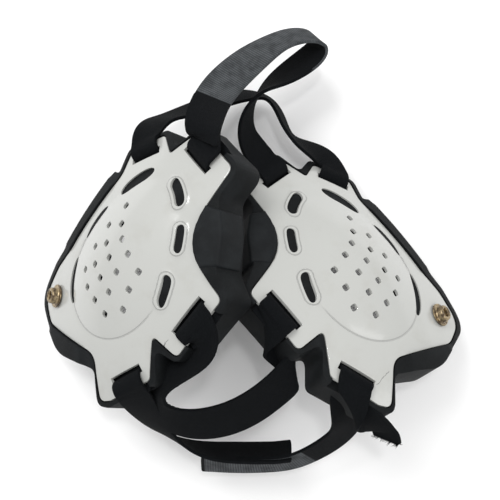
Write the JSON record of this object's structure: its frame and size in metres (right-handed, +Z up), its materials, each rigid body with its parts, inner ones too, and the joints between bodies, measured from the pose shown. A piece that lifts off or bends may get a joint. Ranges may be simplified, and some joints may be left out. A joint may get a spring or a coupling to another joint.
{
  "type": "wrestling ear guard",
  "caption": "Wrestling headgear: hard vented shells with foam ear pads, joined by webbing straps, lying flat with the shells' outer faces up.",
  "frame": {"origin": "middle of the base of the whole object's box, on the surface that it lies on", "axes": "+Z up from the surface, +Y towards the crown strap, +X towards the right shell as the picture shows it"},
  "size_m": [0.244, 0.2594, 0.1057],
  "materials": {
    "shell": "glossy moulded, slightly worn",
    "foam": "matt closed-cell foam with a moulded skin",
    "stud": "darkened bronze",
    "strap": "loop-pile webbing"
  },
  "bodies": {
    "root": {"shell_left": "shell", "foam_pad_left": "foam", "chin_stud_left": "stud", "shell_right": "shell", "foam_pad_right": "foam", "chin_stud_right": "stud", "crown_strap": "strap", "front_strap": "strap", "rear_strap": "strap", "nape_strap_left": "strap", "nape_strap_right": "strap"}
  },
  "joints": []
}
